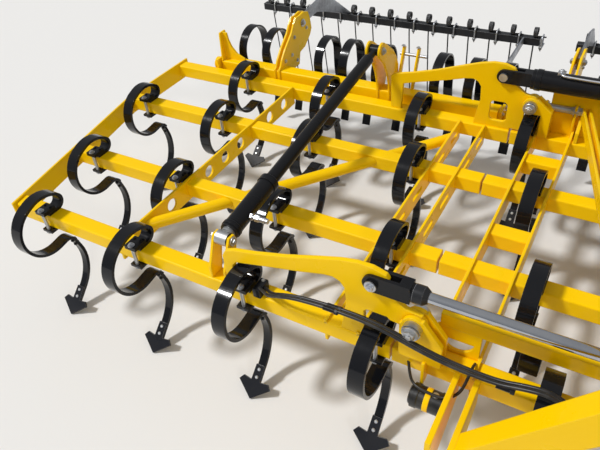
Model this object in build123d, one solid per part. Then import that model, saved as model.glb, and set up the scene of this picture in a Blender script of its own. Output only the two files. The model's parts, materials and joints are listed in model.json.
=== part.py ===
from build123d import *
import math
import os

# Three-section tine field cultivator, wings spread level, standing on its shares.
# Millimetres. X runs across the machine, Y backwards, Z up. The origin is on the floor
# under the middle of the machine's width and length.

# Height of the beams' top faces above the floor, and the beams' square section.
deck_z = 640.0
beam_w = 80.0
beam_corner_r = 8.0
front_reach = 300.0
rear_reach = 2889.5
first_row_y = (front_reach - rear_reach) / 2
row_pitches = (500.0, 610.0, 500.0)
row_y = [first_row_y]
for pitch in row_pitches:
    row_y.append(row_y[-1] + pitch)
last_y = row_y[3]
beam_foot = deck_z - beam_w

# Half widths of the frame: where the wing joins, its plates and each beam's end.
joint_x = 770.0
joint_gap = 10.0
centre_plate_x = (465.0, 636.0)
lock_plate_x = (904.0, 1042.0)
holed_plate_x = 2131.0
end_plate_x = 3066.0
end_plate_front_x = end_plate_x - 222.0
plate_t = 12.0
plate_rise = 12.0
plate_drop = 105.0

# Wing hinge, lever plates and the cylinders between the wings.
hinge_x = 685.0
hinge_z = deck_z + 170.0
hinge_eye_r = 40.0
hinge_pin_r = 22.0
lever_t = 20.0
lug_t = 18.0
side_gap = 3.0
lever_y = (row_y[0] + 5.0, last_y + 15.0)
fold_pin_x = 842.0
fold_pin_z = deck_z + 308.0
fold_pin_r = 16.0
fork_r = 36.0
fork_t = 14.0
fork_depth = 96.0
barrel_r = 50.0
bore_r = 40.0
rod_r = 20.0
fork_neck_r = 33.0
run_gap = 0.3

# Levelling gear behind the last beam: tube, hoops and rake turn together.
tube_w = 90.0
tube_corner_r = 10.0
tube_y = last_y + 155.0
tube_z = deck_z - 5.0
journal_r = 30.0
wing_tube_x = (868.0, end_plate_x - 306.0)
centre_tube_x = 600.0
bearing_t = 16.0
carrier_w = 70.0
carrier_y = last_y + 335.0
carrier_top = deck_z - 84.0
rake_y = last_y + 1145.0
rake_w = 50.0
rake_top = deck_z + 35.0
wire_r = 5.5
wire_pitch = 150.0
wire_lean = 71.5
coil_r = (20.0, 30.0)
rake_over = 48.0
ear_t = 12.0
arm_t = 10.0
arm_pin_r = 14.0

# Adjusting cylinders of the levelling gear: where each stands on the first beam, its pin on the tube's
# ears and the width of its eyes.
strut_x = 1555.0
wing_strut_foot = (row_y[0] + 89.0, deck_z + 170.0)
centre_strut_foot = (row_y[0] + 195.0, deck_z + 45.0)
wing_strut_pin = (tube_y - 160.0, deck_z + 346.0)
centre_strut_pin = (tube_y + 40.0, deck_z + 170.0)
wing_eye_t = 59.0
centre_eye_t = 42.0
strut_pin_r = 12.0
strut_barrel_r = 42.0
strut_bore_r = 36.0
strut_rod_r = 31.0
strut_barrel_len = 370.0
strut_eye_r = 30.0
strut_neck = (100.0, 19.0)

# Tines: one every 150 mm across the machine, each in one of the four rows, in whole groups of four.
tine_pitch = 150.0
tine_w = 64.0
tine_t = 15.0
shank_w = 38.0
half_tines = len(row_y) * int((end_plate_x - tine_w) // (tine_pitch * len(row_y)))
top_curl_r = 41.0
over_curl_r = 150.0
front_curl_r = 151.0
neck_r = 45.0
neck_turn = 82.0
sweep_r = 250.0
sweep_turn = 64.0
toe_len = 98.0

# Shares: width, thickness, length from point to tail and how far the point reaches below the tine's toe.
share_w = 170.0
share_t = 10.0
share_point = 69.3
share_tail = 95.0

body_shapes = {}


def keep(name, *shapes):
    body_shapes.setdefault(name, []).extend(shapes)


def block(x, y, z):
    size = (x[1] - x[0], y[1] - y[0], z[1] - z[0])
    return Pos((x[0] + x[1]) / 2, (y[0] + y[1]) / 2, (z[0] + z[1]) / 2) * Box(*size)


def plate_xz(points, y0, y1):
    face = make_face(Polyline(*[(x, y0, z) for x, z in points], close=True))
    return extrude(face, y1 - y0, dir=(0, 1, 0))


def plate_yz(points, x0, x1):
    face = make_face(Polyline(*[(x0, y, z) for y, z in points], close=True))
    return extrude(face, x1 - x0, dir=(1, 0, 0))


def rod_x(r, x0, x1, y, z):
    return Pos((x0 + x1) / 2, y, z) * Rot(0, 90, 0) * Cylinder(r, abs(x1 - x0))


def rod_y(r, y0, y1, x, z):
    return Pos(x, (y0 + y1) / 2, z) * Rot(90, 0, 0) * Cylinder(r, abs(y1 - y0))


def rod_between(a, b, r):
    a, b = Vector(*a), Vector(*b)
    return extrude(Plane(origin=a, z_dir=b - a) * Circle(r), (b - a).length)


def both_sides(shapes):
    return list(shapes) + [mirror(s, about=Plane.YZ) for s in shapes]


def follow(y, z, a, move):
    # Where a move from (y, z) with heading a ends, its heading there and the centre of its arc.
    if move[0] == "line":
        return y + move[1] * math.cos(a), z + move[1] * math.sin(a), a, None
    turn = 1 if move[0] == "left" else -1
    r = move[1] * turn
    cy, cz = y - r * math.sin(a), z + r * math.cos(a)
    a += turn * math.radians(move[2])
    return cy + r * math.sin(a), cz - r * math.cos(a), a, (cy, cz)


def strip(start, heading_deg, moves, t, x0, x1):
    # A flat bar bent in the YZ plane: moves are ("line", length) or ("left"/"right", radius, degrees).
    y, z, a = start[0], start[1], math.radians(heading_deg)
    sides = {1: [], -1: []}
    for move in moves:
        y2, z2, a2, centre = follow(y, z, a, move)
        for s in sides:
            o = s * t / 2
            if centre is None:
                nx, nz = -math.sin(a), math.cos(a)
                sides[s].append(Line((x0, y + nx * o, z + nz * o), (x0, y2 + nx * o, z2 + nz * o)))
                continue
            turn = math.copysign(1, a2 - a)
            r = move[1] * turn - o
            spots = []
            for b in (a, (a + a2) / 2, a2):
                spots.append((x0, centre[0] + r * math.sin(b), centre[1] - r * math.cos(b)))
            sides[s].append(ThreePointArc(*spots))
        y, z, a = y2, z2, a2
    edges = sides[1] + sides[-1]
    edges.append(Line(sides[1][0] @ 0, sides[-1][0] @ 0))
    edges.append(Line(sides[1][-1] @ 1, sides[-1][-1] @ 1))
    face = make_face(edges)
    return extrude(face, x1 - x0, dir=(1, 0, 0)), (y, z, a)


# Tines: curl over the beam and round in front of it, shank, share and clamp. The two nearest the
# middle stand in different rows.
tine_moves = [
    ("line", 58.0),
    ("left", top_curl_r, 140.0),
    ("left", over_curl_r, 60.0),
    ("line", 24.0),
    ("left", front_curl_r, 168.0),
    ("line", 46.0),
    ("right", neck_r, neck_turn),
]
toe_moves = [("right", sweep_r, sweep_turn), ("line", toe_len)]
shank_t = 1.2 * tine_t


def straight_shank():
    # The straight below the neck, with the length that brings the share's point to the floor.
    y, z, a = 0.0, deck_z + tine_t / 2, 0.0
    for move in tine_moves:
        y, z, a, centre = follow(y, z, a, move)
    lean = a
    for move in toe_moves:
        y, z, a, centre = follow(y, z, a, move)
    height = z + share_point * math.sin(a) - shank_t / 2 * math.cos(a)
    return ("line", -height / math.sin(lean))


shank_moves = [straight_shank()] + toe_moves


def tine_places():
    places = []
    for n in range(half_tines):
        x = (n + 0.5) * tine_pitch
        row = (n + len(row_y) - 1) % len(row_y)
        for side in (-1, 1):
            if n == 0 and side == 1:
                places.append((x, 2))
            else:
                places.append((side * x, row))
    return places


def tine(x, row):
    loop, end = strip((row_y[row], deck_z + tine_t / 2), 0.0, tine_moves, tine_t, x - tine_w / 2, x + tine_w / 2)
    shank, tip = strip(end[:2], math.degrees(end[2]), shank_moves, shank_t, x - shank_w / 2, x + shank_w / 2)
    return loop + shank, tip


def share(x, tip):
    # A duckfoot blade on the shank's front face, its point on the floor. Rows are x, height on the blade.
    y, z, a = tip
    front = Vector(0, math.sin(a), -math.cos(a))
    plane = Plane(origin=Vector(x, y, z) + front * shank_t / 2, x_dir=(1, 0, 0), z_dir=front)
    half = share_w / 2
    pts = [(0, -share_point), (half, 0.0), (half - 18, 24.0), (24, 18.0), (22, share_tail),
           (-22, share_tail), (-24, 18.0), (-half + 18, 24.0), (-half, 0.0)]
    return extrude(plane * make_face(Polyline(*pts, close=True)), share_t, dir=front)


clamp_y = (-28.0, 46.0)
clamp_bolt_y = -15.0
clamp_bolt_r = 8.0


def tine_clamp(x, row):
    # A block on the tine's end, the long bolt in front of the beam and the nut plate below.
    y0 = row_y[row]
    half = tine_w / 2
    ys = (y0 + clamp_y[0], y0 + clamp_y[1])
    top = block((x - half, x + half), ys, (deck_z + tine_t, deck_z + tine_t + 20))
    foot = block((x - half, x + half), ys, (beam_foot - 14, beam_foot))
    bolt = Cylinder(clamp_bolt_r, beam_w + tine_t + 10)
    return top + foot + Pos(x, y0 + clamp_bolt_y, (beam_foot + deck_z + tine_t) / 2) * bolt


for x, row in tine_places():
    body = "centre" if abs(x) < joint_x else ("wing_right" if x < 0 else "wing_left")
    piece, tip = tine(x, row)
    keep(f"{body}_tines", piece)
    keep(f"{body}_shares", share(x, tip))
    keep(f"{body}_tine_clamps", tine_clamp(x, row))


# Centre frame: four cross beams, two pairs of fore-and-aft plates, short beams between them.
def beam(x0, x1, y0):
    bar = block((x0, x1), (y0, y0 + beam_w), (beam_foot, deck_z))
    return fillet(bar.edges().filter_by(Axis.X), beam_corner_r)


half_joint = joint_x - joint_gap / 2
centre_beams = [beam(-half_joint, half_joint, y) for y in row_y]
keep("centre_beams", *centre_beams)

plate_z = (deck_z - plate_drop, deck_z + plate_rise)
centre_plates = []
for x in centre_plate_x:
    front = row_y[0] - 30 if x == centre_plate_x[1] else row_y[0]
    centre_plates.append(plate_yz([(front, plate_z[0]), (last_y + 120, plate_z[0]),
                                   (last_y + 250, deck_z - 50), (last_y + 250, deck_z + 75),
                                   (last_y + 100, deck_z + 75), (last_y + 20, plate_z[1]),
                                   (front, plate_z[1])], -x - plate_t / 2, -x + plate_t / 2))
centre_plates = both_sides(centre_plates)
bearing_cut = rod_x(journal_r + run_gap, -joint_x, joint_x, tube_y, tube_z)
tube_sweep = rod_x(tube_w * 0.5 * math.sqrt(2) + 4, -550, 550, tube_y, tube_z)
centre_plates = [p - centre_beams - bearing_cut - tube_sweep for p in centre_plates]
keep("centre_plates", *centre_plates)

short_beam_y = (row_y[1] + 260.0, row_y[2] + 255.0)
inner = centre_plate_x[0] + plate_t / 2
outer = centre_plate_x[1] - plate_t / 2
for y in short_beam_y:
    for side in (-1, 1):
        xs = sorted((side * inner, side * outer))
        keep("centre_beams", beam(xs[0], xs[1], y))

# Hinge lugs on the centre frame, two to each lever plate, and their pins.
lug_leg_x = (578.0, 628.0)


def hinge_lug(y0, over_tine):
    y1 = y0 + lug_t
    eye = rod_y(hinge_eye_r + 4, y0, y1, -hinge_x, hinge_z)
    if over_tine:
        web = plate_xz([(-lug_leg_x[1], deck_z), (-lug_leg_x[0], deck_z), (-lug_leg_x[0], deck_z + 150),
                        (-hinge_x + 30, hinge_z + 42), (-hinge_x, hinge_z - hinge_eye_r - 2),
                        (-lug_leg_x[1], hinge_z - hinge_eye_r - 2)], y0, y1)
    else:
        web = plate_xz([(-hinge_x - 50, deck_z), (-lug_leg_x[0], deck_z), (-lug_leg_x[0], deck_z + 110),
                        (-hinge_x + 34, hinge_z + 39), (-hinge_x - 51, hinge_z)], y0, y1)
    hole = rod_y(hinge_pin_r, y0 - 1, y1 + 1, -hinge_x, hinge_z)
    return eye + web - hole


lugs = []
pins = []
for y0, over_tine in ((lever_y[0], False), (lever_y[1], True)):
    lug_fronts = (y0 - side_gap - lug_t, y0 + lever_t + side_gap)
    for start in lug_fronts:
        lugs.append(hinge_lug(start, over_tine))
    pin = rod_y(hinge_pin_r, lug_fronts[0] - 12, lug_fronts[1] + lug_t + 12, -hinge_x, hinge_z)
    head = rod_y(hinge_pin_r + 12, lug_fronts[0] - 24, lug_fronts[0], -hinge_x, hinge_z)
    tail = rod_y(hinge_pin_r + 12, lug_fronts[1] + lug_t, lug_fronts[1] + lug_t + 22, -hinge_x, hinge_z)
    pins.append(pin + head + tail)
keep("centre_hinge_lugs", *[lug - centre_plates for lug in both_sides(lugs)])
keep("centre_hinge_pins", *both_sides(pins))

# Headstock: drop plates with the lower link pins, an A-shaped mast, its head and two stays.
link_y = row_y[0] - 255.0
link_z = deck_z - 150.0
link_x = 482.5
link_half_gap = 25.0
link_plate_t = 20.0
link_hole_r = 18.5
mast_hole_r = 16.0
mast_head_half_gap = 26.0
mast_head_t = 22.0
mast_z = link_z + 685.0
mast_y = (row_y[0] - 300.0, row_y[0] - 220.0)
mast_hole_y = row_y[0] - 275.0
drop_plates = []
for x0 in (link_x - link_half_gap - link_plate_t, link_x + link_half_gap):
    drop_plates.append(plate_yz([(row_y[0], deck_z), (row_y[0], deck_z - 130), (link_y + 40, link_z - 55),
                                 (link_y - 45, link_z - 50), (link_y - 45, link_z + 40),
                                 (mast_y[0], deck_z - 30), (mast_y[0], deck_z)], -x0 - link_plate_t, -x0))
drop_plates = [p - rod_x(link_hole_r, -700, 0, link_y, link_z) for p in drop_plates]
keep("headstock_plates", *both_sides(drop_plates))
leg_foot_x = link_x - link_half_gap - link_plate_t
leg_x = (330.0, mast_head_half_gap)
head_face_x = mast_head_half_gap + 2 * mast_head_t
legs = both_sides([plate_xz([(-leg_foot_x, deck_z - 80), (-leg_x[0] - 70, deck_z - 80), (-leg_x[0], deck_z),
                             (-leg_x[1], deck_z + 423), (-leg_x[1], mast_z + 60), (-leg_foot_x, deck_z + 4)],
                            mast_y[0], mast_y[1])])
head_block = block((-head_face_x, head_face_x), mast_y, (mast_z - 172, mast_z + 60))
head_slot = block((-leg_x[1], leg_x[1]), (mast_y[0] - 1, mast_y[1] + 1), (mast_z - 65, mast_z + 61))
mast = legs[0] + legs[1] + head_block - head_slot
mast -= rod_x(mast_hole_r, -160, 160, mast_hole_y, mast_z)
keep("mast", mast)
stay_foot = (-455.0, last_y + 140.0, deck_z + 130.0)
stay_head = (-64.0, mast_y[1] - 6.0, mast_z - 25.0)
stay_w = 50.0
stay_t = 12.0
stay_gap = 30.0


def stay(x_shift):
    a = Vector(*stay_foot) + Vector(x_shift, 0, 0)
    b = Vector(*stay_head) + Vector(x_shift, 0, 0)
    plane = Plane(origin=a, x_dir=(1, 0, 0), z_dir=b - a)
    return extrude(plane * Rectangle(stay_t, stay_w), (b - a).length)


stays = [stay(0.0) - mast, stay(stay_gap) - mast]
keep("mast_stays", *both_sides(stays))

# Each pair of stays ends on both sides of a bracket that stands on the last beam.
foot_x = stay_foot[0] + stay_gap / 2
foot_half = (stay_gap - stay_t) / 2
stay_bracket = plate_yz([(last_y + 5, deck_z), (last_y + 75, deck_z), (last_y + 95, deck_z + 95),
                         (last_y + 165, deck_z + 95), (last_y + 175, deck_z + 165),
                         (last_y + 110, deck_z + 165), (last_y + 5, deck_z + 60)],
                        foot_x - foot_half, foot_x + foot_half)
keep("centre_plates", *both_sides([stay_bracket - stays[0] - stays[1]]))

# Tie tube above the front beam, on two cheeks with half-round cut-outs; a pair of plates behind the last
# beam; the manual's tube beside the headstock.
tie_y = (row_y[0] + beam_w, row_y[0] + beam_w + 60)
tie_z = (deck_z + 120, deck_z + 180)
tie_half = 620.0
cheek_cut_r = 56.0
cheek_cut_z = deck_z + 66
back_plate_x = (135.0, 600.0)
manual_tube_r = 43.0
keep("front_tie", block((-tie_half, tie_half), tie_y, tie_z))
cheeks = []
for side in (-1, 1):
    xs = sorted((side * inner, side * outer))
    cheek = block(xs, (tie_y[0], tie_y[0] + plate_t), (deck_z - 60, tie_z[0]))
    round_cut = rod_y(cheek_cut_r, tie_y[0] - 5, tie_y[0] + 20, side * (inner + outer) / 2, cheek_cut_z)
    cheeks.append(cheek - (round_cut & block(xs, tie_y, (0, cheek_cut_z))))
keep("centre_plates", *cheeks)
back_plate = block((-back_plate_x[1], -back_plate_x[0]), (last_y + beam_w, last_y + beam_w + 10),
                   (deck_z - 20, deck_z + 235))
for shape in centre_plates + [stay_bracket] + stays:
    back_plate -= shape
keep("rear_tie", *both_sides([back_plate]))
keep("manual_tube", rod_x(manual_tube_r, -645, -link_x - link_half_gap - link_plate_t, row_y[0] - 80, deck_z - 107))

# Wing frame: beams that end on the bent outer plate, and the plates between the beams.
bend_y = row_y[2]
outer_plate = extrude(
    make_face(Polyline((-end_plate_x, last_y + beam_w + 20, plate_z[0]), (-end_plate_x, bend_y, plate_z[0]),
                       (-end_plate_front_x, row_y[0] - 20, plate_z[0]),
                       (-end_plate_front_x - plate_t, row_y[0] - 20, plate_z[0]),
                       (-end_plate_x - plate_t, bend_y, plate_z[0]),
                       (-end_plate_x - plate_t, last_y + beam_w + 20, plate_z[0]), close=True)),
    plate_z[1] - plate_z[0], dir=(0, 0, 1))
inside = extrude(
    make_face(Polyline((-joint_x, row_y[0] - 50, 0), (-end_plate_front_x + 9, row_y[0] - 50, 0),
                       (-end_plate_x, bend_y, 0), (-end_plate_x, last_y + 200, 0),
                       (-joint_x, last_y + 200, 0), close=True)), 2000, dir=(0, 0, 1))
long_beams = [beam(-end_plate_x, -joint_x - joint_gap / 2, y) for y in row_y]
wing_beams = [(b & inside).solid() - outer_plate for b in long_beams]


def wing_plate(x):
    return plate_yz([(row_y[0], plate_z[0]), (last_y, plate_z[0]), (last_y, plate_z[1]), (row_y[0], plate_z[1])],
                    -x - plate_t / 2, -x + plate_t / 2)


hole_r = 34.0
holes_y = []
for n in range(3):
    span = (row_y[n] + beam_w, row_y[n + 1])
    count = 3 if n == 1 else 2
    for k in range(count):
        holes_y.append(span[0] + (span[1] - span[0]) * (k + 0.5 + 0.25) / (count + 0.5))
mid_z = (plate_z[0] + plate_z[1]) / 2
holed = wing_plate(holed_plate_x)
for y in holes_y:
    holed -= rod_x(hole_r, -holed_plate_x - 20, -holed_plate_x + 20, y, mid_z)
locks = []
for x in lock_plate_x:
    lock = wing_plate(x)
    for n in range(3):
        middle = (row_y[n] + beam_w + row_y[n + 1]) / 2
        for off in (-110, 110):
            lock -= block((-x - 20, -x + 20), (middle + off - 60, middle + off + 60), (mid_z - 14, mid_z + 14))
    locks.append(lock)
bearings = []
for x in (wing_tube_x[0] - 10.0, wing_tube_x[1] + 10.0):
    near = x < 1000
    x0 = x - bearing_t if near else x
    bearing = plate_yz([(last_y + beam_w, deck_z - 60), (tube_y + 50, deck_z - 45), (tube_y + 50, tube_z + 40),
                        (tube_y + 25, tube_z + 60), (last_y + beam_w, tube_z + 60)], -x0 - bearing_t, -x0)
    bearings.append(bearing - rod_x(journal_r + run_gap, -x0 - 40, -x0 + 20, tube_y, tube_z))
wing_plates = [p - wing_beams for p in [holed] + locks] + [outer_plate] + bearings

# Diagonal round brace, in pieces between the beams.
brace_r = 30.0
brace_z = deck_z - 40.0
brace_path = [(-2097.0, row_y[0] + 230), (-931.0, row_y[0] + 1630)]


def brace_x(y):
    (xa, ya), (xb, yb) = brace_path
    return xa + (xb - xa) * (y - ya) / (yb - ya)


braces = []
for n in range(3):
    ya = row_y[n] + beam_w
    yb = row_y[n + 1]
    tube = rod_between((brace_x(ya - 60), ya - 60, brace_z), (brace_x(yb + 60), yb + 60, brace_z), brace_r)
    tube = tube & block((-holed_plate_x + plate_t / 2, -lock_plate_x[1] - plate_t / 2), (ya, yb), (0, 2000))
    braces.append(tube)

# Lever plates: an arched arm from a foot on the beam, a head with the fold pin, and the hinge eye.
# Each row is x, z above the beams. The front lever's foot stands between a tine and the cylinder's bracket,
# and its base arches over a tine, where the rear lever's base is closed and has a window.
lever_foots = ([(-1503, 0), (-1461, 0), (-1461, 128), (-1440, 152)], [(-1462, 0), (-1402, 0), (-1392, 162)])
lever_arm = [(-1285, 192), (-1140, 228), (-1040, 257), (-1000, 262), (-972, 250), (-955, 225), (-950, 150),
             (-975, 0)]
lever_bases = ([(-880, 0), (-880, 140), (-868, 152), (-790, 152), (-778, 140)], [(-777, 0), (-777, 9), (-716, 9)])
lever_head = [(-715, 133), (-662, 212), (-722, 222), (-775, 262), (-790, 300), (-786, 335), (-797, 352),
              (-846, 368), (-905, 368), (-970, 354), (-1050, 328), (-1200, 276), (-1340, 236), (-1440, 214)]
lever_tails = ([(-1488, 194), (-1503, 165)], [(-1468, 198), (-1466, 150)])


def lever(y0, foot, base, tail):
    points = foot + lever_arm + base + lever_head + tail
    body = plate_xz([(x, deck_z + z) for x, z in points], y0, y0 + lever_t)
    eye = rod_y(hinge_eye_r, y0, y0 + lever_t, -hinge_x, hinge_z)
    plate = body + eye - rod_y(hinge_pin_r + run_gap, y0 - 5, y0 + lever_t + 5, -hinge_x, hinge_z)
    plate -= rod_y(fold_pin_r, y0 - 5, y0 + lever_t + 5, -fold_pin_x, fold_pin_z)
    return plate - wing_plates


window = block((-895, -803), (lever_y[1] - 5, lever_y[1] + lever_t + 5), (deck_z + 40, deck_z + 156))
levers = [lever(*row) for row in zip(lever_y, lever_foots, lever_bases, lever_tails)]
levers[1] -= fillet(window.edges().filter_by(Axis.Y), 22)
for side, name in ((-1, "wing_right"), (1, "wing_left")):
    sets = {"beams": wing_beams, "plates": wing_plates, "brace": braces, "levers": levers}
    for kind, shapes in sets.items():
        placed = shapes if side == -1 else [mirror(s, about=Plane.YZ) for s in shapes]
        keep(f"{name}_{kind}", *placed)

# Fold cylinders from wing to wing: the front one's barrel is on the left wing, the rear one's on
# the right wing, and each rod reaches across to the other wing's lever.
gland_x = -20.0
gland_len = 28.0
barrel_end_x = 770.0
rod_collar_x = -664.0
piston_len = 40.0


def fork(y0):
    # Two cheeks beside the lever plate and the block that joins them, for the pin at -fold_pin_x.
    cheeks = None
    for ya in (y0 - side_gap - fork_t, y0 + lever_t + side_gap):
        yb = ya + fork_t
        cheek = rod_y(fork_r, ya, yb, -fold_pin_x, fold_pin_z)
        cheek += block((-fold_pin_x, -fold_pin_x + fork_depth + 5), (ya, yb),
                       (fold_pin_z - fork_r, fold_pin_z + fork_r))
        cheeks = cheek if cheeks is None else cheeks + cheek
    half = lever_t / 2 + side_gap + fork_t
    middle = y0 + lever_t / 2
    root = block((-fold_pin_x + fork_depth, -fold_pin_x + fork_depth + 40), (middle - half, middle + half),
                 (fold_pin_z - fork_r, fold_pin_z + fork_r))
    return cheeks + root


def fold_cylinder(y0):
    # Rod end at -X, barrel end at +X.
    middle = y0 + lever_t / 2
    head = mirror(fork(y0), about=Plane.YZ)
    inner_end = fold_pin_x - fork_depth - 40
    tube = rod_x(barrel_r, gland_x - gland_len, inner_end, middle, fold_pin_z)
    tube -= rod_x(bore_r, gland_x, inner_end - 20, middle, fold_pin_z)
    tube -= rod_x(rod_r + run_gap, gland_x - gland_len - 5, gland_x + 5, middle, fold_pin_z)
    ya, yb = y0 - side_gap - fork_t, y0 + lever_t + side_gap + fork_t
    barrel = tube + head - rod_y(fold_pin_r + run_gap, ya - 5, yb + 5, fold_pin_x, fold_pin_z)
    rod = rod_x(rod_r, rod_collar_x, gland_x + piston_len, middle, fold_pin_z)
    rod += rod_x(bore_r - run_gap, gland_x + 4, gland_x + 4 + piston_len, middle, fold_pin_z)
    rod_head = fork(y0)
    rod_head += rod_x(fork_neck_r, -fold_pin_x + fork_depth + 40, rod_collar_x, middle, fold_pin_z)
    stub = fold_pin_r + 3
    rod_head += rod_y(stub, ya - 10, ya, -fold_pin_x, fold_pin_z)
    rod_head += rod_y(stub, yb, yb + 10, -fold_pin_x, fold_pin_z)
    pin = rod_y(fold_pin_r, ya - 4, yb + 4, fold_pin_x, fold_pin_z)
    pin += rod_y(fold_pin_r + 6, ya - 14, ya - 1, fold_pin_x, fold_pin_z)
    pin += rod_y(fold_pin_r + 6, yb + 1, yb + 14, fold_pin_x, fold_pin_z)
    return barrel, rod, rod_head, pin


barrel, rod, rod_head, pin = fold_cylinder(lever_y[0])
keep("front_fold_barrel", barrel)
keep("front_fold_rod", rod)
keep("front_fold_fork", rod_head)
keep("wing_left_fold_pin", pin)
flipped = [mirror(s, about=Plane.YZ) for s in fold_cylinder(lever_y[1])]
for name, shape in zip(("rear_fold_barrel", "rear_fold_rod", "rear_fold_fork", "wing_right_fold_pin"), flipped):
    keep(name, shape)

# Levelling gear: yellow tube with ears and lift arms, black carrier with hoops, rake bar and wires.
hoop_moves = [("line", 40.0), ("right", 140.0, 270.0), ("line", 90.0), ("left", 420.0, 18.0), ("line", 210.0),
              ("right", 160.0, 38.0), ("line", 60.0)]
hoop_w = 58.0
hoop_t = 10.0
wing_hoop_x = (2647.0, 2460.0, 2059.0, 1884.0, 1655.0, 1278.0, 1076.0, 890.0)
centre_hoop_x = (-400.0, -240.0, -80.0, 80.0, 240.0, 400.0)


def hoop(x):
    start = (carrier_y + 60.0, carrier_top + hoop_t / 2)
    return strip(start, 180.0, hoop_moves, hoop_t, x - hoop_w / 2, x + hoop_w / 2)[0]


def wire(x):
    # Spring wire: a coil above the bar, drawn as a short drum, a straight tine to the floor and its clip.
    y = rake_y + rake_w + wire_r + 2
    coil_z = rake_top + coil_r[1] + 2
    coil = rod_x(coil_r[1], x - 22, x + 22, y - coil_r[1], coil_z)
    coil -= rod_x(coil_r[0], x - 30, x + 30, y - coil_r[1], coil_z)
    tine_wire = rod_between((x, y - wire_r, coil_z), (x, y + wire_lean, 14.0), wire_r)
    clip = block((x - 14, x + 14), (rake_y + rake_w, y + 8), (rake_top - 36, rake_top - 8))
    return coil + tine_wire + clip


# Lift arm, two broad plates that lean back from the tube; rake arm, bent over to the bar; and the wings'
# ears for the adjusting cylinder, which lean forward. Rows are y from the tube's middle, z from the beams' tops.
arm_pin_y = tube_y + 285.0
arm_pin_z = deck_z + 240.0
arm_gap = 21.0
lift_arm_points = [(-51, -12), (-51, 48), (-30, 62), (-6, 100), (46, 153), (136, 221), (173, 269), (207, 301),
                   (256, 298), (310, 305), (367, 286), (387, 233), (400, 163), (376, 125), (296, 70), (228, 58),
                   (205, -20), (20, -20)]
rake_arm_points = [(255, 274), (251, 210), (520, 225), (690, 165), (990, 35), (1040, 35), (815, 195), (740, 250),
                   (545, 305)]
ear_points = [(-51, -15), (-51, 60), (-62, 114), (-84, 178), (-130, 259), (-200, 325), (-190, 382), (-111, 370),
              (-6, 290), (43, 229), (77, 165), (81, 110), (60, 45), (20, -15)]
ear_r = 46.0


def tube_plate(points, x0, t):
    return plate_yz([(tube_y + dy, deck_z + dz) for dy, dz in points], x0, x0 + t)


def lift_arm(x):
    half = arm_gap / 2
    return [tube_plate(lift_arm_points, x - half - ear_t, ear_t), tube_plate(lift_arm_points, x + half, ear_t)]


def arm_pin(x):
    half = arm_gap / 2 + ear_t + 12
    return rod_x(arm_pin_r, x - half, x + half, arm_pin_y, arm_pin_z)


def rake_arm(x):
    return tube_plate(rake_arm_points, x - arm_t / 2, arm_t) - arm_pin(x)


def low_arm(x):
    # A level arm from the tube's back face to the rake bar.
    back = tube_y + tube_w / 2
    pts = [(back, tube_z - 40), (rake_y, rake_top - rake_w), (rake_y, rake_top), (back, tube_z + 40)]
    return plate_yz(pts, x - arm_t / 2, x + arm_t / 2)


def wing_ears(x):
    shapes = []
    for x0 in (x - wing_eye_t / 2 - 2 - ear_t, x + wing_eye_t / 2 + 2):
        ear = tube_plate(ear_points, x0, ear_t) + rod_x(ear_r, x0, x0 + ear_t, *wing_strut_pin)
        shapes.append(ear - rod_x(strut_pin_r, x0 - 5, x0 + ear_t + 5, *wing_strut_pin))
    return shapes


def centre_ears(x):
    pin_y, pin_z = centre_strut_pin
    foot = tube_z + tube_w / 2
    shapes = []
    for x0 in (x - centre_eye_t / 2 - 2 - ear_t, x + centre_eye_t / 2 + 2):
        web = plate_yz([(tube_y - 44, foot), (tube_y + 44, foot), (tube_y + 48, foot + 75),
                        (pin_y + 34, pin_z - 18), (pin_y - 36, pin_z + 12), (tube_y - 20, foot + 75)], x0, x0 + ear_t)
        ear = web + rod_x(38.0, x0, x0 + ear_t, pin_y, pin_z)
        shapes.append(ear - rod_x(strut_pin_r, x0 - 5, x0 + ear_t + 5, pin_y, pin_z))
    return shapes


def tube_end(x, inward):
    # Upright plate on the tube's outer end and the curved gusset beside it.
    foot = tube_z + tube_w / 2
    upright = plate_yz([(tube_y - 44, foot), (tube_y + 44, foot), (tube_y + 30, foot + 190), (tube_y - 30, foot + 190)],
                       *sorted((x, x + inward * ear_t)))
    curve = [(0, 0), (0, 190), (45, 185), (52, 140), (72, 92), (108, 50), (165, 22), (175, 0)]
    gusset = plate_xz([(x + inward * dx, foot + dz) for dx, dz in curve], tube_y - 6, tube_y + 6)
    collar_x = x - inward * (10 + bearing_t + 20)
    collar = rod_x(journal_r + 12, collar_x, collar_x - inward * 26, tube_y, tube_z)
    return upright + gusset + collar


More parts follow.
